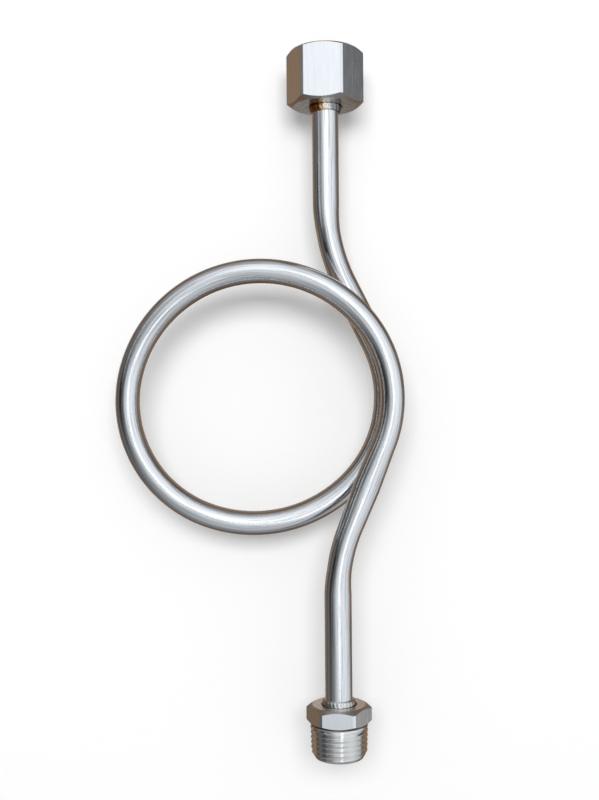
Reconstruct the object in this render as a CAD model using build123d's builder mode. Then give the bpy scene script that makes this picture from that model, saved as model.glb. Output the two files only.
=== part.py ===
"""Pressure gauge siphon: a steel tube bent into one full loop between two straight legs,
with a female hexagon socket for the gauge on top and a male taper-threaded hexagon nipple below.

Millimetres. Z runs up along the legs, the nipple's end face is at Z = 0 and its axis is the Z axis.
The loop lies in planes parallel to XZ and advances along Y by one tube pitch.
"""
import os
from math import cos, pi, radians, sin, tan

from build123d import *

os.makedirs("parts", exist_ok=True)

# tube
tube_od = 10.0
tube_bore = 7.0
wall = (tube_od - tube_bore) / 2
bend_in_plane = 9.1  # outside size across the flattened bend, in the plane of the loop
bend_out_of_plane = 10.5  # outside size along Y in the bend
strand_pitch = 10.9  # Y distance between the two legs
insert_depth = 4.0  # how far each tube end sits below a fitting's weld recess

# route, from the upper leg downwards: (bend radius, angle turned in degrees)
upper_s_bend = (68.6, 24.7)
upper_slope = 27.8
loop_bends = [(46.0, 70.0), (51.4, 65.5), (45.2, 84.2), (50.0, 121.5)]
last_loop_radius = 46.0
lower_slope = 33.7
lower_s_bend = (62.6, 22.2)
upper_leg = 37.2  # straight run below the gauge socket
lower_leg = 40.9  # straight run above the nipple
shift_start = 0.16  # part of the loop's length after which it starts to move along Y
shift_end = 0.80
bend_step = 6.0  # degrees between section stations
ovalling_run = 0.35  # part of each S-bend over which the round tube becomes oval

# process nipple
nipple_af = 21.5
nipple_corner_r = 12.1
nipple_hex_height = 6.9
nipple_turn = -5.0  # rotation of the hexagon about the axis, degrees
thread_length = 12.4
thread_r_large = 10.66
thread_taper = 1 / 32  # radius lost per millimetre
lead_in_height = 2.3
lead_in_r = 8.9

# gauge socket
socket_af = 26.0
socket_corner_r = 14.65
socket_height = 21.1
socket_turn = -7.0
socket_thread_r = 9.32
socket_thread_depth = 14.0
socket_mouth_chamfer = 1.3

# shared by both fittings
chamfer_angle = 30.0
weld_recess_r = 6.7
weld_recess_depth = 1.5
fit_gap = 0.05  # radial clearance between tube and fitting

# weld beads
bead_foot_r = 6.2
nipple_bead_height = 2.1
socket_bead_height = 2.4
bead_shoulder_r = 5.75
bead_neck_r = 5.25

nipple_height = thread_length + nipple_hex_height


def route():
    """Stations (x, z, heading, shift, oval) of the centreline, from the upper leg to the lower one.

    The heading is in degrees from +X, shift and oval run from 0 to 1.
    """
    total = upper_s_bend[1] + 360 + lower_s_bend[1]
    bends = loop_bends + [(last_loop_radius, total - sum(angle for _, angle in loop_bends))]
    steps = [("s", *upper_s_bend, 1), ("line", upper_slope, 0, 0)]
    steps += [("loop", radius, angle, -1) for radius, angle in bends]
    steps += [("line", lower_slope, 0, 0), ("s", *lower_s_bend, 1)]
    loop_length = sum(radius * radians(angle) for radius, angle in bends)

    x, z, heading, travelled = 0.0, 0.0, -90.0, 0.0
    stations = [(x, z, heading, 0.0, 0.0)]
    for index, (kind, size, angle, sense) in enumerate(steps):
        count = 4 if kind == "line" else max(2, round(angle / bend_step))
        for i in range(1, count + 1):
            if kind == "line":
                x += size / count * cos(radians(heading))
                z += size / count * sin(radians(heading))
            else:
                half = angle / count / 2
                chord = 2 * size * sin(radians(half))
                heading += sense * half
                x += chord * cos(radians(heading))
                z += chord * sin(radians(heading))
                heading += sense * half
            if kind == "loop":
                travelled += size * radians(angle / count)
            part = min(max((travelled / loop_length - shift_start) / (shift_end - shift_start), 0), 1)
            shift = (1 - cos(pi * part)) / 2
            oval = abs(2 * i / count - 1) if kind == "line" else 1.0
            if kind == "s":
                run = i / count if index == 0 else 1 - i / count
                oval = min(run / ovalling_run, 1)
            stations.append((x, z, heading, shift, oval))
    return stations


stations = route()
lower_bend_z = nipple_height + lower_leg
upper_bend_x = -stations[-1][0]
upper_bend_z = lower_bend_z - stations[-1][1]
socket_z = upper_bend_z + upper_leg
upper_y = strand_pitch


def section_planes():
    """Planes square to the centreline, their x directions lying in the loop's plane."""
    points = [
        Vector(upper_bend_x + x, upper_y - strand_pitch * shift, upper_bend_z + z)
        for x, z, _, shift, _ in stations
    ]
    planes = []
    for i, (point, station) in enumerate(zip(points, stations)):
        across = Vector(-sin(radians(station[2])), 0, cos(radians(station[2])))
        before, after = points[max(i - 1, 0)], points[min(i + 1, len(points) - 1)]
        rise = (after.Y - before.Y) / (after - before).length
        along = Vector(cos(radians(station[2])), rise, sin(radians(station[2])))
        planes.append(Plane(origin=point, x_dir=across, z_dir=along))
    return planes


def bent_solid(thickness):
    """The bent run of the tube as a solid, reduced by a thickness all round."""
    with BuildPart() as bent:
        for plane, station in zip(section_planes(), stations):
            oval = station[4]
            in_plane = tube_od + (bend_in_plane - tube_od) * oval
            out_of_plane = tube_od + (bend_out_of_plane - tube_od) * oval
            with BuildSketch(plane):
                Ellipse(in_plane / 2 - thickness, out_of_plane / 2 - thickness)
        loft()
    return bent.part


def hexagon(af, corner_r, height, turn):
    """A hexagon with conical chamfers above and below, standing on Z = 0."""
    flat_r = af / 2 - 0.9
    slope = tan(radians(chamfer_angle))
    with BuildPart() as body:
        with BuildSketch():
            RegularPolygon(af / 2, 6, major_radius=False, rotation=turn)
        extrude(amount=height)
        with BuildSketch(Plane.XZ) as turned:
            Polygon(
                (0, 0), (flat_r, 0), (corner_r, (corner_r - flat_r) * slope),
                (corner_r, height - (corner_r - flat_r) * slope), (flat_r, height), (0, height),
                align=None,
            )
        revolve(turned.sketch, axis=Axis.Z, mode=Mode.INTERSECT)
    return body.part


def bead(height):
    """Weld bead round the tube, foot on the recess floor, Z = 0 at the fitting's face."""
    with BuildPart() as ring:
        with BuildSketch(Plane.XZ) as profile:
            with BuildLine():
                Polyline(
                    (bead_neck_r, height), (tube_od / 2, height), (tube_od / 2, -weld_recess_depth),
                    (bead_foot_r, -weld_recess_depth), (bead_foot_r, 0),
                )
                ThreePointArc((bead_foot_r, 0), (bead_shoulder_r, height * 0.7), (bead_neck_r, height))
            make_face()
        revolve(profile.sketch, axis=Axis.Z)
    return ring.part


with BuildPart() as siphon_tube:
    add(bent_solid(0))
    with Locations((0, 0, nipple_height - weld_recess_depth - insert_depth)):
        Cylinder(tube_od / 2, lower_leg + weld_recess_depth + insert_depth,
                 align=(Align.CENTER, Align.CENTER, Align.MIN))
    with Locations((upper_bend_x, upper_y, upper_bend_z)):
        Cylinder(tube_od / 2, upper_leg + weld_recess_depth + insert_depth,
                 align=(Align.CENTER, Align.CENTER, Align.MIN))
    add(bent_solid(wall), mode=Mode.SUBTRACT)
    with Locations((0, 0, nipple_height - weld_recess_depth - insert_depth)):
        Cylinder(tube_bore / 2, lower_leg + weld_recess_depth + insert_depth,
                 align=(Align.CENTER, Align.CENTER, Align.MIN), mode=Mode.SUBTRACT)
    with Locations((upper_bend_x, upper_y, upper_bend_z)):
        Cylinder(tube_bore / 2, upper_leg + weld_recess_depth + insert_depth,
                 align=(Align.CENTER, Align.CENTER, Align.MIN), mode=Mode.SUBTRACT)
siphon_tube.part.label = "siphon_tube"
export_step(siphon_tube.part, "parts/siphon_tube.step")

with BuildPart() as process_nipple:
    with Locations((0, 0, thread_length)):
        add(hexagon(nipple_af, nipple_corner_r, nipple_hex_height, nipple_turn))
    with BuildSketch(Plane.XZ) as thread_profile:
        Polygon(
            (0, 0), (lead_in_r, 0),
            (thread_r_large - (thread_length - lead_in_height) * thread_taper, lead_in_height),
            (thread_r_large, thread_length), (0, thread_length), align=None,
        )
    revolve(thread_profile.sketch, axis=Axis.Z)
    with Locations((0, 0, nipple_height)):
        Cylinder(weld_recess_r, weld_recess_depth,
                 align=(Align.CENTER, Align.CENTER, Align.MAX), mode=Mode.SUBTRACT)
        Cylinder(tube_od / 2 + fit_gap, weld_recess_depth + insert_depth,
                 align=(Align.CENTER, Align.CENTER, Align.MAX), mode=Mode.SUBTRACT)
        Cylinder(tube_bore / 2, nipple_height,
                 align=(Align.CENTER, Align.CENTER, Align.MAX), mode=Mode.SUBTRACT)
process_nipple.part.label = "process_nipple"
export_step(process_nipple.part, "parts/process_nipple.step")

with BuildPart() as gauge_socket:
    with Locations((upper_bend_x, upper_y, socket_z)):
        add(hexagon(socket_af, socket_corner_r, socket_height, socket_turn))
        Cylinder(weld_recess_r, weld_recess_depth,
                 align=(Align.CENTER, Align.CENTER, Align.MIN), mode=Mode.SUBTRACT)
        Cylinder(tube_od / 2 + fit_gap, weld_recess_depth + insert_depth,
                 align=(Align.CENTER, Align.CENTER, Align.MIN), mode=Mode.SUBTRACT)
        Cylinder(tube_bore / 2, socket_height,
                 align=(Align.CENTER, Align.CENTER, Align.MIN), mode=Mode.SUBTRACT)
    with Locations((upper_bend_x, upper_y, socket_z + socket_height)):
        Cylinder(socket_thread_r, socket_thread_depth,
                 align=(Align.CENTER, Align.CENTER, Align.MAX), mode=Mode.SUBTRACT)
        Cone(socket_thread_r, socket_thread_r + socket_mouth_chamfer, socket_mouth_chamfer,
             align=(Align.CENTER, Align.CENTER, Align.MAX), mode=Mode.SUBTRACT)
gauge_socket.part.label = "gauge_socket"
export_step(gauge_socket.part, "parts/gauge_socket.step")

with BuildPart() as lower_weld:
    with Locations((0, 0, nipple_height)):
        add(bead(nipple_bead_height))
lower_weld.part.label = "lower_weld"
export_step(lower_weld.part, "parts/lower_weld.step")

with BuildPart() as upper_weld:
    with Locations(Location((upper_bend_x, upper_y, socket_z), (180, 0, 0))):
        add(bead(socket_bead_height))
upper_weld.part.label = "upper_weld"
export_step(upper_weld.part, "parts/upper_weld.step")
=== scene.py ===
import bpy
import numpy as np
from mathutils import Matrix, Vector


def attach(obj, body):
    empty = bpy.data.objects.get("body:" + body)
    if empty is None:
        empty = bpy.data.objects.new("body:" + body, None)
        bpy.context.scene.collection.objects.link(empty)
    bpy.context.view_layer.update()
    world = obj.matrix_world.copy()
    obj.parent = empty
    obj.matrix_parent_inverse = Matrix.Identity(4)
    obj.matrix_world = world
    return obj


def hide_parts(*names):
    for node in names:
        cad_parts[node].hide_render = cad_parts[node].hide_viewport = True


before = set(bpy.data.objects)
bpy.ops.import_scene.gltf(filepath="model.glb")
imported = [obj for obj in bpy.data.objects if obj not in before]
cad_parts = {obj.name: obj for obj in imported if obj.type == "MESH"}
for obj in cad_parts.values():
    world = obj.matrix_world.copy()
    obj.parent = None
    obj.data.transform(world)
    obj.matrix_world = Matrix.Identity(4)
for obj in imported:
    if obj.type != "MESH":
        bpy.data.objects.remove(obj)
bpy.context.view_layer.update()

MM = 0.001

# Sizes of the siphon, in millimetres.
TUBE_R = 5.0
BORE_R = 3.5
BEND_HALF_IN_PLANE = 4.55
BEND_HALF_OUT = 5.25
STRAND_PITCH = 10.9
INSERT = 5.5  # how far a tube end goes below a fitting's face
NIPPLE_TOP = 19.3
THREAD_LENGTH = 12.4
THREAD_R_LARGE = 10.66
THREAD_TAPER = 1 / 32
LEAD_IN_HEIGHT = 2.3
LEAD_IN_R = 8.9
THREAD_PITCH = 1.814  # 14 threads to the inch
THREAD_DEPTH = 1.05
SOCKET_HEIGHT = 21.1
SOCKET_THREAD_R = 9.32
SOCKET_THREAD_DEPTH = 14.0
SOCKET_MOUTH = 1.3
RECESS_DEPTH = 1.5

# Route from the upper leg downwards: kind, bend radius or straight length, degrees turned, sense.
UPPER_LEG, LOWER_LEG = 37.2, 40.9
TURN = 24.7 + 360 + 22.2
LOOP = [(46.0, 70.0), (51.4, 65.5), (45.2, 84.2), (50.0, 121.5)]
LOOP.append((46.0, TURN - sum(angle for _, angle in LOOP)))
ROUTE = [("s", 68.6, 24.7, 1), ("line", 27.8, 0, 0)]
ROUTE += [("loop", radius, angle, -1) for radius, angle in LOOP]
ROUTE += [("line", 33.7, 0, 0), ("s", 62.6, 22.2, 1)]
SHIFT_START, SHIFT_END = 0.16, 0.80
OVALLING_RUN = 0.35


# ---------- surfaces ----------

def surface(name, grid, close_across=False, close_along=False):
    """A mesh from a grid of points (rows, columns, 3) in millimetres; smooth faces, closed where asked."""
    rows, columns = grid.shape[:2]
    i = np.arange(rows if close_along else rows - 1)
    j = np.arange(columns if close_across else columns - 1)
    i, j = [a.ravel() for a in np.meshgrid(i, j, indexing="ij")]
    i2, j2 = (i + 1) % rows, (j + 1) % columns
    quads = np.stack([i * columns + j, i * columns + j2, i2 * columns + j2, i2 * columns + j], 1)
    mesh = bpy.data.meshes.new(name)
    mesh.vertices.add(rows * columns)
    mesh.vertices.foreach_set("co", (grid.reshape(-1) * MM).astype(np.float32))
    mesh.loops.add(quads.size)
    mesh.loops.foreach_set("vertex_index", quads.reshape(-1).astype(np.int32))
    mesh.polygons.add(len(quads))
    mesh.polygons.foreach_set("loop_start", np.arange(0, quads.size, 4, dtype=np.int32))
    mesh.update(calc_edges=True)
    mesh.validate()
    mesh.shade_smooth()
    piece = bpy.data.objects.new(name, mesh)
    bpy.context.collection.objects.link(piece)
    return piece


def centreline(step=0.6):
    """Points along the tube: straight legs and circular bends joined end to end, in the loop's plane.

    Position is the running sum of step times (cos heading, sin heading); the heading changes by
    step / bend radius. Y follows half a cosine wave between the two strands.
    """
    length, curve, ovality, in_loop = [], [], [], []
    for index, (kind, size, angle, sense) in enumerate(ROUTE):
        run = size if kind == "line" else size * np.radians(angle)
        count = max(2, int(round(run / step)))
        part = (np.arange(count) + 0.5) / count
        rise = part if index == 0 else 1 - part
        length.append(np.full(count, run / count))
        curve.append(np.full(count, 0.0 if kind == "line" else sense / size))
        oval = {"s": np.clip(rise / OVALLING_RUN, 0, 1), "line": np.abs(2 * part - 1), "loop": part * 0 + 1}
        ovality.append(oval[kind])
        in_loop.append(np.full(count, 1.0 if kind == "loop" else 0.0))
    length, curve, ovality, in_loop = map(np.concatenate, (length, curve, ovality, in_loop))
    turn = curve * length
    heading = np.radians(-90) + np.cumsum(turn) - turn / 2
    chord = np.where(turn == 0, length, 2 * np.sin(np.abs(turn) / 2) / np.maximum(np.abs(curve), 1e-12))
    x = np.concatenate([[0], np.cumsum(chord * np.cos(heading))])
    z = np.concatenate([[0], np.cumsum(chord * np.sin(heading))])
    travelled = np.concatenate([[0], np.cumsum(length * in_loop)])
    part = np.clip((travelled / travelled[-1] - SHIFT_START) / (SHIFT_END - SHIFT_START), 0, 1)
    y = STRAND_PITCH * (1 + np.cos(np.pi * part)) / 2
    heading = np.radians(-90) + np.concatenate([[0], np.cumsum(turn)])
    ovality = np.concatenate([[0], (ovality[1:] + ovality[:-1]) / 2, [0]])
    x -= x[-1]
    z += NIPPLE_TOP + LOWER_LEG - z[-1]
    top = z[0] + UPPER_LEG
    above = np.linspace(top + INSERT, z[0], 60)[:-1]
    below = np.linspace(z[-1], NIPPLE_TOP - INSERT, 60)[1:]
    x = np.concatenate([np.full(len(above), x[0]), x, np.full(len(below), x[-1])])
    y = np.concatenate([np.full(len(above), y[0]), y, np.full(len(below), y[-1])])
    z = np.concatenate([above, z, below])
    heading = np.concatenate([np.full(len(above), heading[0]), heading, np.full(len(below), heading[-1])])
    ovality = np.concatenate([np.zeros(len(above)), ovality, np.zeros(len(below))])
    return np.stack([x, y, z], 1), heading, ovality, top


points, heading, ovality, SOCKET_FACE = centreline()
SOCKET_X, SOCKET_Y = points[0, 0], points[0, 1]


def tube():
    """The bent tube: an ellipse carried along the centreline, outside down and inside back, closed.

    point = centre + cos(a) * half width in the loop's plane * in-plane normal
    + sin(a) * half height * side.
    The "drawn" attribute is the same point on the tube as if it were straight, in millimetres.
    """
    along = np.gradient(points, axis=0)
    along /= np.linalg.norm(along, axis=1)[:, None]
    across = np.stack([-np.sin(heading), np.zeros(len(heading)), np.cos(heading)], 1)
    side = np.cross(along, across)
    angle = np.linspace(0, 2 * np.pi, 72, endpoint=False)
    rings = []
    for inset, order in ((0.0, 1), (TUBE_R - BORE_R, -1)):
        half_in = TUBE_R + (BEND_HALF_IN_PLANE - TUBE_R) * ovality - inset
        half_out = TUBE_R + (BEND_HALF_OUT - TUBE_R) * ovality - inset
        ring = (points[:, None] + np.cos(angle)[None, :, None] * (half_in[:, None] * across)[:, None]
                + np.sin(angle)[None, :, None] * (half_out[:, None] * side)[:, None])
        rings.append(ring[::order])
    skin = surface("siphon_tube_skin", np.concatenate(rings), close_across=True, close_along=True)
    run = np.concatenate([[0], np.cumsum(np.linalg.norm(np.diff(points, axis=0), axis=1))])
    run = np.concatenate([run, run[::-1]])[:, None] + 0 * angle[None]
    drawn = np.stack([TUBE_R * np.cos(angle) + 0 * run, TUBE_R * np.sin(angle) + 0 * run, run], 2)
    along_tube = skin.data.attributes.new("drawn", "FLOAT_VECTOR", "POINT")
    along_tube.data.foreach_set("vector", drawn.reshape(-1).astype(np.float32))
    return skin


def turned(name, x, y, z, profile, ripple=None, count=96):
    """A profile of (radius, height) turned round a vertical axis, with a ripple added to the radius."""
    angle = np.linspace(0, 2 * np.pi, count, endpoint=False)
    radius, height = np.array(profile, float).T
    radius = np.repeat(radius[:, None], count, 1)
    height = np.repeat(height[:, None], count, 1)
    if ripple is not None:
        radius, height = ripple(radius, height, np.repeat(angle[None], len(profile), 0))
    grid = np.stack([x + radius * np.cos(angle), y + radius * np.sin(angle), z + height], 2)
    return surface(name, grid, close_across=True, close_along=True)


def thread_wave(height, angle, pitch=THREAD_PITCH):
    """0 on a crest and 1 in a root: a triangle wave of height minus one pitch a turn, flattened at both."""
    phase = (height / pitch - angle / (2 * np.pi)) % 1.0
    return np.clip(np.abs(2 * phase - 1) * 1.25 - 0.125, 0, 1)


def male_thread():
    """Taper thread: the cone's radius less the thread wave, fading out at the hexagon and the end face."""
    angle = np.linspace(0, 2 * np.pi, 128, endpoint=False)
    height = np.linspace(0, THREAD_LENGTH, 180)[:, None] + 0 * angle[None]
    small = THREAD_R_LARGE - (THREAD_LENGTH - LEAD_IN_HEIGHT) * THREAD_TAPER
    cone = THREAD_R_LARGE - (THREAD_LENGTH - height) * THREAD_TAPER
    lead_in = LEAD_IN_R + (small - LEAD_IN_R) * height / LEAD_IN_HEIGHT
    cut = THREAD_DEPTH * thread_wave(height, angle[None]) * np.clip((THREAD_LENGTH - height) / 2.4, 0, 1)
    radius = np.minimum(cone - cut, lead_in)
    radius[0], radius[-1] = LEAD_IN_R, THREAD_R_LARGE
    grid = np.stack([radius * np.cos(angle), radius * np.sin(angle), height], 2)
    return surface("process_thread", grid, close_across=True)


def female_thread():
    """Parallel thread in the socket: the minor radius plus the thread wave, fading out at both ends."""
    angle = np.linspace(0, 2 * np.pi, 128, endpoint=False)
    low = SOCKET_FACE + SOCKET_HEIGHT - SOCKET_THREAD_DEPTH
    high = SOCKET_FACE + SOCKET_HEIGHT - SOCKET_MOUTH
    height = np.linspace(low, high, 180)[:, None] + 0 * angle[None]
    fade = np.clip((height - low) / 0.8, 0, 1) * np.clip((high - height) / 0.6, 0, 1)
    radius = SOCKET_THREAD_R + THREAD_DEPTH * (1 - thread_wave(height, angle[None])) * fade
    grid = np.stack([SOCKET_X + radius * np.cos(angle), SOCKET_Y + radius * np.sin(angle), height], 2)
    return surface("gauge_thread", grid[:, ::-1], close_across=True)


def machined_copy(node, cut_away):
    """A merged copy of a machined fitting with hard edges, less the faces that a thread takes over."""
    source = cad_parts[node].data
    co = np.zeros(len(source.vertices) * 3)
    source.vertices.foreach_get("co", co)
    co = co.reshape(-1, 3)
    tri = np.zeros(len(source.loops), dtype=np.int32)
    source.loops.foreach_get("vertex_index", tri)
    keys, inverse = np.unique(np.round(co, 7), axis=0, return_inverse=True)
    tri = inverse.reshape(-1)[tri.reshape(-1, 3)]
    tri = tri[(tri[:, 0] != tri[:, 1]) & (tri[:, 1] != tri[:, 2]) & (tri[:, 2] != tri[:, 0])]
    tri = tri[~cut_away(keys[tri].reshape(-1, 3, 3) / MM)]
    mesh = bpy.data.meshes.new(node + "_machined")
    mesh.from_pydata(keys.tolist(), [], tri.tolist())
    mesh.shade_smooth()
    mesh.set_sharp_from_angle(angle=np.radians(24))
    piece = bpy.data.objects.new(node + "_machined", mesh)
    bpy.context.collection.objects.link(piece)
    return piece


def nipple_thread_faces(corners):
    """Side faces of the plain thread envelope, lead-in included."""
    radius = np.hypot(corners[..., 0], corners[..., 1])
    outside = (radius > LEAD_IN_R - 0.02).all(1)
    below_hexagon = (corners[..., 2] < THREAD_LENGTH + 0.001).all(1)
    return outside & below_hexagon & (np.ptp(corners[..., 2], axis=1) > 0.01)


def socket_thread_faces(corners):
    """Faces of the socket's plain bore wall."""
    radius = np.hypot(corners[..., 0] - SOCKET_X, corners[..., 1] - SOCKET_Y)
    on_wall = (np.abs(radius - SOCKET_THREAD_R) < 0.03).all(1)
    return on_wall & (np.ptp(corners[..., 2], axis=1) > 0.01)


# ---------- weld beads ----------

def bead_profile(height, foot, shoulder, neck, floor):
    """Half section of a weld bead, from the tube outwards: floor, foot, a quarter-ellipse crown, neck."""
    t = np.linspace(0, np.pi / 2, 14)
    crown = np.stack([neck + (foot - neck) * np.cos(t) ** shoulder, height * np.sin(t)], 1)
    return np.concatenate([[(TUBE_R - 0.05, floor), (foot, floor)], crown, [(TUBE_R - 0.05, height)]])


def bead_ripple(count, depth, seed):
    """Overlapping weld ripples: a saw-like wave round the bead, with a slow random wander added."""
    wander = np.random.default_rng(seed).uniform(0, 2 * np.pi, 4)

    def apply(radius, height, angle):
        crown = np.clip((radius - TUBE_R) / 1.2, 0, 1) * np.clip(np.abs(height) / 0.6, 0, 1)
        wave = np.abs(np.sin(angle * count / 2 + wander[0] + 0.5 * height))
        slow = np.sin(2 * angle + wander[1]) + 0.6 * np.sin(3 * angle + wander[2])
        push = depth * crown * (wave + 0.5 * slow - 0.9)
        return radius + push, height * (1 + 0.06 * slow * crown)
    return apply


lower_bead = turned("lower_weld_bead", 0, 0, NIPPLE_TOP,
                    bead_profile(2.1, 6.2, 0.8, 5.05, -RECESS_DEPTH), bead_ripple(26, 0.16, 3), 180)
upper_half = bead_profile(2.4, 6.1, 0.55, 5.1, -RECESS_DEPTH)
upper_half[:, 1] *= -1
upper_bead = turned("upper_weld_bead", SOCKET_X, SOCKET_Y, SOCKET_FACE,
                    upper_half[::-1], bead_ripple(22, 0.2, 8), 180)

tube_skin = tube()
male = male_thread()
female = female_thread()
nipple = machined_copy("process_nipple", nipple_thread_faces)
socket = machined_copy("gauge_socket", socket_thread_faces)


# ---------- materials ----------

def linear(hex_colour):
    """sRGB hex to linear RGBA."""
    values = np.array([int(hex_colour[i:i + 2], 16) for i in (1, 3, 5)]) / 255
    values = np.where(values <= 0.04045, values / 12.92, ((values + 0.055) / 1.055) ** 2.4)
    return (*values.tolist(), 1.0)


def node(tree, kind, settings=None, links=None):
    """Adds a node with its settings, and links its inputs to the sockets given."""
    made = tree.nodes.new(kind)
    for key, value in (settings or {}).items():
        if isinstance(key, str) and hasattr(made, key):
            setattr(made, key, value)
        else:
            made.inputs[key].default_value = value
    for key, socket_out in (links or {}).items():
        tree.links.new(socket_out, made.inputs[key])
    return made


def metal(name, colour, roughness):
    """A metal: its material, its node tree and its shader."""
    made = bpy.data.materials.new(name)
    made.use_nodes = True
    tree = made.node_tree
    shader = tree.nodes["Principled BSDF"]
    shader.inputs["Base Color"].default_value = linear(colour)
    shader.inputs["Metallic"].default_value = 1.0
    shader.inputs["Roughness"].default_value = roughness
    return made, tree, shader


def remap(tree, value, start, end, low, high):
    """A value between start and end, carried to low and high and held there."""
    return node(tree, "ShaderNodeMapRange", {1: start, 2: end, 3: low, 4: high},
                {"Value": value}).outputs["Result"]


def object_place(tree):
    """The socket that gives the place on the object, in metres."""
    return node(tree, "ShaderNodeTexCoord").outputs["Object"]


# Drawn and polished stainless tube: a near mirror with draw lines along it, about 0.6 mm apart and 20 mm
# long, and dull patches and pits of 1.7 mm and less. The "drawn" attribute is in millimetres.
polished_tube, tree, shader = metal("stainless_tube_drawn_and_polished", "#f4f5f6", 0.1)
drawn = node(tree, "ShaderNodeAttribute", {"attribute_name": "drawn"})
straight = node(tree, "ShaderNodeMapping", {"Scale": (1.0, 1.0, 0.03)}, {"Vector": drawn.outputs["Vector"]})
lines = node(tree, "ShaderNodeTexNoise", {"Scale": 1.7, "Detail": 4.0, "Roughness": 0.6},
             {"Vector": straight.outputs["Vector"]})
patches = node(tree, "ShaderNodeTexNoise", {"Scale": 0.6, "Detail": 6.0, "Roughness": 0.7},
               {"Vector": drawn.outputs["Vector"]})
dull = remap(tree, patches.outputs["Fac"], 0.42, 0.7, 0.03, 0.14)
tree.links.new(dull, shader.inputs["Roughness"])
worn = remap(tree, lines.outputs["Fac"], 0.36, 0.5, 0.0, 1.0)
shade = node(tree, "ShaderNodeMix", {"data_type": "RGBA", 6: linear("#d2d4d6"), 7: linear("#f4f5f6")},
             {0: worn})
tree.links.new(shade.outputs[2], shader.inputs["Base Color"])
both = node(tree, "ShaderNodeMath", {"operation": "MULTIPLY_ADD", 1: 0.8},
            {0: patches.outputs["Fac"], 2: lines.outputs["Fac"]})
relief = node(tree, "ShaderNodeBump", {"Strength": 0.6, "Distance": 0.00008}, {"Height": both.outputs[0]})
tree.links.new(relief.outputs["Normal"], shader.inputs["Normal"])


def milled(name, colour, low, high, stretch):
    """Machined stainless: fine grooves, one direction, and a grainy roughness; stretch is cells a metre."""
    made, tree, shader = metal(name, colour, low)
    mapped = node(tree, "ShaderNodeMapping", {"Scale": stretch}, {"Vector": object_place(tree)})
    lines = node(tree, "ShaderNodeTexNoise", {"Scale": 1.0, "Detail": 5.0, "Roughness": 0.65},
                 {"Vector": mapped.outputs["Vector"]})
    spread = remap(tree, lines.outputs["Fac"], 0.3, 0.7, low, high)
    relief = node(tree, "ShaderNodeBump", {"Strength": 0.5, "Distance": 0.00006},
                  {"Height": lines.outputs["Fac"]})
    tree.links.new(spread, shader.inputs["Roughness"])
    tree.links.new(relief.outputs["Normal"], shader.inputs["Normal"])
    return made


# Marks 1.1 mm wide and 8 mm long on the flats, 1.4 mm on the end faces, 0.8 mm high and 3.3 mm long in
# the threads, each with grain down to about a sixteenth of that.
hex_bar = milled("stainless_hexagon_bar_milled", "#f6f7f8", 0.12, 0.28, (900.0, 900.0, 120.0))
# The end faces are the same steel as the flats: their darker, warmer colour is painted shade, their rougher
# turned finish is real.
end_face_painted_shade = milled("stainless_end_face_turned_painted_shade", "#d9d5cf", 0.22, 0.36, (700.0, 700.0, 700.0))
cut_thread = milled("stainless_thread_cut", "#f0efed", 0.05, 0.12, (300.0, 300.0, 1200.0))

# TIG weld bead: heat tint from straw-orange on one side to bright and then grey on the other, over
# 11.5 mm, with clouds of 3 mm in it.
tinted_weld, tree, shader = metal("stainless_weld_heat_tinted", "#d9d4cc", 0.22)
here = object_place(tree)
cloud = node(tree, "ShaderNodeTexNoise", {"Scale": 330.0, "Detail": 2.0}, {"Vector": here})
place = node(tree, "ShaderNodeSeparateXYZ", None, {"Vector": here})
across = remap(tree, place.outputs["X"], -0.0085, 0.003, 0.0, 1.0)
uneven = remap(tree, cloud.outputs["Fac"], 0.3, 0.7, -0.14, 0.14)
along = node(tree, "ShaderNodeMath", {"operation": "ADD"}, {0: across, 1: uneven})
tint = node(tree, "ShaderNodeValToRGB", None, {"Fac": along.outputs[0]})
stops = tint.color_ramp.elements
stops[0].position, stops[0].color = 0.16, linear("#b06a30")
stops[1].position, stops[1].color = 0.9, linear("#8f9094")
for at, colour in ((0.3, "#d99a55"), (0.36, "#f2ead6"), (0.5, "#ece9e0"), (0.56, "#a9a9aa")):
    stops.new(at).color = linear(colour)
tree.links.new(tint.outputs["Color"], shader.inputs["Base Color"])

bright_weld, tree, shader = metal("stainless_weld_bright", "#dcdad6", 0.24)

for piece, material, name, slot in (
    (tube_skin, polished_tube, "siphon_tube", "tube_steel"),
    (socket, hex_bar, "gauge_socket", "fitting_steel"),
    (nipple, hex_bar, "process_nipple", "fitting_steel"),
    (upper_bead, tinted_weld, "upper_weld", "weld_steel"),
    (lower_bead, bright_weld, "lower_weld", "weld_steel"),
    (male, cut_thread, None, "fitting_steel"),
    (female, cut_thread, None, "fitting_steel"),
):
    piece.data.materials.append(material)
    if material is hex_bar:
        piece.data.materials.append(end_face_painted_shade)
        # Faces pointing up or down take the end-face material, with its painted shade.
        normals = np.zeros(len(piece.data.polygons) * 3)
        piece.data.polygons.foreach_get("normal", normals)
        ends = (np.abs(normals.reshape(-1, 3)[:, 2]) > 0.4).astype(np.int32)
        piece.data.polygons.foreach_set("material_index", ends)
    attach(piece, "root")
    if name:
        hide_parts(name)


# ---------- studio ----------

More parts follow.
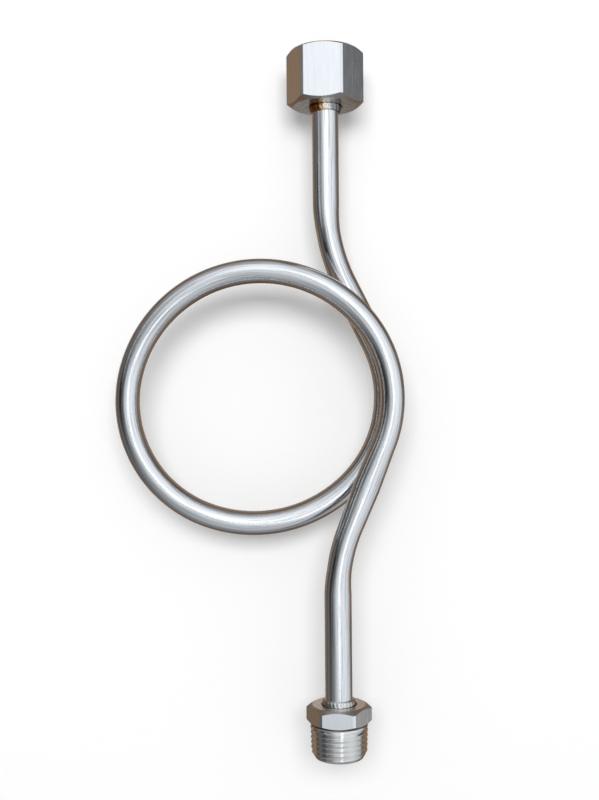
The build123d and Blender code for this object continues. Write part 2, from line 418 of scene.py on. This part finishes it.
def painted_reflection_ball(radius=900.0, opening=6.0):
    """A glowing ball, no lamp, round the siphon: painted reflections seen only in the metal, open behind to
    the white background.

    The radius is in millimetres, and opening is half the angle of the hole behind, in degrees.

    theta is the angle from the camera's side, psi the direction round it, from the right upwards. The
    brightness of the painted reflections is one curve of theta for each of right, up, left and down,
    mixed by the squared cosine of psi, and a painted upright strip highlight a little to the right of the
    camera.
    """
    theta = np.linspace(0.5, 180 - opening, 240)[:, None]
    psi = np.linspace(0, 2 * np.pi, 180, endpoint=False)[None]
    right = np.interp(theta, [0, 14, 26, 40, 55, 65, 75, 87, 97, 105, 113, 120, 130, 180],
                      [.80, .92, .90, .90, .90, .84, .72, .62, .52, .33, .12, .12, .15, .20])
    up = np.interp(theta, [0, 8, 16, 30, 45, 55, 65, 77, 88, 100, 112, 130, 150, 163, 180],
                   [.60, .80, 1.1, 1.1, .95, .90, .75, .50, .45, .28, .12, .15, .20, .36, .40])
    left = np.interp(theta, [0, 10, 20, 28, 36, 46, 56, 68, 78, 88, 96, 106, 118, 133, 150, 180],
                     [.65, .60, .68, .45, .25, .12, .07, .01, .02, .10, .14, .08, .08, .20, .18, .12])
    down = np.interp(theta, [0, 10, 20, 30, 42, 55, 67, 79, 92, 106, 120, 140, 163, 180],
                     [.62, .66, .80, .52, .52, .50, .47, .36, .25, .22, .10, .09, .05, .05])
    # What the four curves leave out, all painted reflection: a painted bright streak up on the left,
    # painted shade on the upper right, a painted upright strip highlight.
    rise = np.sin(psi)
    toward_right, toward_left = np.clip(np.cos(psi), 0, 1) ** 2, np.clip(-np.cos(psi), 0, 1) ** 2
    painted_streak = 0.6 * np.exp(-((theta - 63) / 5) ** 2) * np.clip(4 * rise, 0, 1)
    azimuth = np.degrees(np.arctan2(np.sin(np.radians(theta)) * np.cos(psi), np.cos(np.radians(theta))))
    height = np.degrees(np.arcsin(np.sin(np.radians(theta)) * rise))
    painted_strip_highlight = 0.9 * np.exp(-((azimuth - 9) / 5) ** 2 - (height / 28) ** 4)
    right = right * (1 - 1.3 * rise * np.exp(-((theta - 106) / 14) ** 2))
    level = (right * toward_right + (left + painted_streak) * toward_left
             + up * np.clip(rise, 0, 1) ** 2 + down * np.clip(-rise, 0, 1) ** 2 + painted_strip_highlight)
    painted_brown_reflection = np.clip((theta - 108) / 14, 0, 1) * (1 - 0.45 * np.clip((theta - 145) / 15, 0, 1)) + 0 * psi
    cool = np.array(linear("#eef3f8")[:3]) / linear("#eef3f8")[1]
    warm = np.array(linear("#86705a")[:3]) / linear("#86705a")[1]
    # Painted reflections: cool light in front, brown behind.
    colour = level[..., None] * (cool * (1 - painted_brown_reflection[..., None]) + warm * painted_brown_reflection[..., None])
    t = np.radians(theta)
    grid = radius * np.stack([np.sin(t) * np.cos(psi), -np.cos(t) + 0 * psi, np.sin(t) * np.sin(psi)], 2)
    grid += np.array([-14.0, 5.0, 132.0])
    ball = surface("painted_reflection_ball", grid, close_across=True)
    # The "studio" colours are the painted reflections: their brightness and their cool or brown tint.
    paint = ball.data.color_attributes.new("studio", "FLOAT_COLOR", "POINT")
    rgba = np.concatenate([colour, np.ones(colour.shape[:2] + (1,))], 2)
    paint.data.foreach_set("color", rgba.reshape(-1).astype(np.float32))
    made = bpy.data.materials.new("painted_reflection_ball")
    made.use_nodes = True
    tree = made.node_tree
    tree.nodes.clear()
    seen = node(tree, "ShaderNodeAttribute", {"attribute_name": "studio"})
    # The ball glows though it is no lamp: it lights nothing and shows only as painted reflections in the
    # metal.
    glow = node(tree, "ShaderNodeEmission", {"Strength": 1.0}, {"Color": seen.outputs["Color"]})
    node(tree, "ShaderNodeOutputMaterial", None, {"Surface": glow.outputs["Emission"]})
    ball.data.materials.append(made)
    ball.visible_camera = False
    ball.visible_diffuse = False
    ball.visible_shadow = False
    ball.visible_transmission = False
    return ball


def white_sheet(y=27.5, half=700.0):
    """The pale sheet just behind the siphon: a flat square that keeps its shadow, clear from the back."""
    across = np.linspace(-half, half, 3)
    grid = np.stack(np.meshgrid(across, [y], across, indexing="ij"), 3).reshape(3, 3, 3)
    sheet = surface("white_sheet", grid[:, ::-1] + np.array([0, 0, 132.0]))
    made = bpy.data.materials.new("white_paper")
    made.use_nodes = True
    tree = made.node_tree
    tree.nodes.clear()
    side = node(tree, "ShaderNodeNewGeometry")
    paper = node(tree, "ShaderNodeBsdfDiffuse", {"Color": linear("#fafafa")})
    clear = node(tree, "ShaderNodeBsdfTransparent")
    both = node(tree, "ShaderNodeMixShader", None,
                {0: side.outputs["Backfacing"], 1: paper.outputs["BSDF"], 2: clear.outputs["BSDF"]})
    node(tree, "ShaderNodeOutputMaterial", None, {"Surface": both.outputs["Shader"]})
    sheet.data.materials.append(made)
    sheet.visible_glossy = False
    return sheet


# Painted reflections and painted highlights for the metal.
painted_reflections = painted_reflection_ball()
sheet = white_sheet()

world = bpy.data.worlds.new("studio")
bpy.context.scene.world = world
world.use_nodes = True
tree = world.node_tree
tree.nodes.clear()
path = node(tree, "ShaderNodeLightPath")
seen = node(tree, "ShaderNodeMath", {"operation": "MAXIMUM"},
            {0: path.outputs["Is Camera Ray"], 1: path.outputs["Is Glossy Ray"]})
seen = node(tree, "ShaderNodeMath", {"operation": "MAXIMUM"},
            {0: seen.outputs[0], 1: path.outputs["Is Transmission Ray"]})
soft = node(tree, "ShaderNodeBackground", {"Color": linear("#ffffff"), "Strength": 0.6})
white = node(tree, "ShaderNodeBackground", {"Color": linear("#ffffff"), "Strength": 1.0})
sky = node(tree, "ShaderNodeMixShader", None,
           {0: seen.outputs[0], 1: soft.outputs["Background"], 2: white.outputs["Background"]})
node(tree, "ShaderNodeOutputWorld", None, {"Surface": sky.outputs["Shader"]})


def soft_lamp(name, place, aim, size, watts):
    """A rectangular soft lamp in metres, not seen in reflections."""
    lamp = bpy.data.lights.new(name, "AREA")
    lamp.shape = "RECTANGLE"
    lamp.size, lamp.size_y = size
    lamp.energy = watts
    stand = bpy.data.objects.new(name, lamp)
    bpy.context.collection.objects.link(stand)
    stand.location = place
    stand.rotation_euler = (Vector(aim) - Vector(place)).to_track_quat("-Z", "Y").to_euler()
    stand.visible_glossy = False
    return stand


soft_lamp("overhead_softbox", (-0.014, -1.3, 0.53), (-0.014, 0.02, 0.132), (0.8, 0.45), 10.5)

view = bpy.data.cameras.new("camera")
view.sensor_fit = "VERTICAL"
view.sensor_height = 24.0
view.lens = 30.75
view.clip_start = 0.01
eye = bpy.data.objects.new("camera", view)
bpy.context.collection.objects.link(eye)
eye.location = (-0.0136, -0.3792, 0.1318)
eye.rotation_euler = (np.radians(90), np.radians(0.52), 0)
bpy.context.scene.camera = eye
bpy.context.scene.view_settings.view_transform = "Standard"
